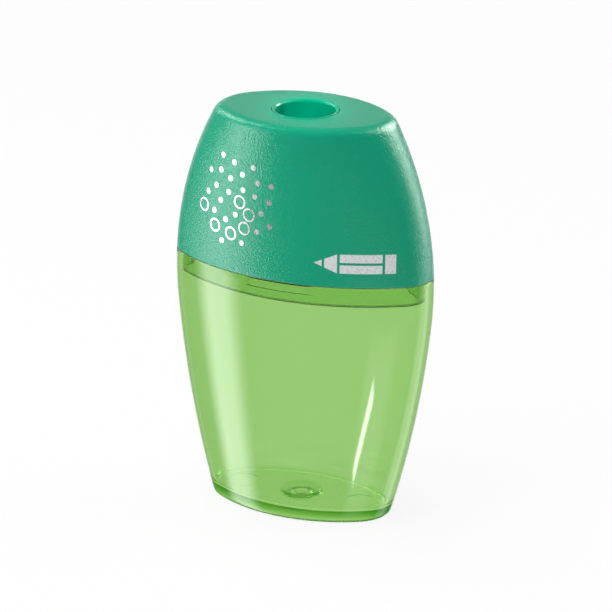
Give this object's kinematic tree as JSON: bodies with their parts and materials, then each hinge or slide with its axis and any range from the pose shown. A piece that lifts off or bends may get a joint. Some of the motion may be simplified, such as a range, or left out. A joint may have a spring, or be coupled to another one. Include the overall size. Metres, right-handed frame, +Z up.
{
  "type": "pencil sharpener",
  "caption": "Canister pencil sharpener: lens-shaped barrel, clear green cup for shavings, and a coloured pull-off cap that holds a screwed-on blade under the pencil hole.",
  "frame": {"origin": "middle of the underside of the cup, on which the sharpener stands", "axes": "+Z up through the pencil hole, +X along the wide side, +Y to the back"},
  "size_m": [0.038, 0.0186, 0.0579],
  "materials": {
    "clear_green": "polished clear tinted",
    "teal_grained": "fine spark-eroded grain, satin",
    "teal_gloss": "polished",
    "steel": "ground"
  },
  "bodies": {
    "cup": {"container": "clear_green"},
    "cap": {"cover": "teal_grained", "inner_frame": "clear_green", "sharpener_body": "teal_gloss", "blade": "steel", "blade_screw": "steel"}
  },
  "joints": [
    {"name": "cap_pull_off", "type": "slide", "parent": "cup", "child": "cap", "axis": [0, 0, 1], "range_m": [0, 0.045]}
  ]
}
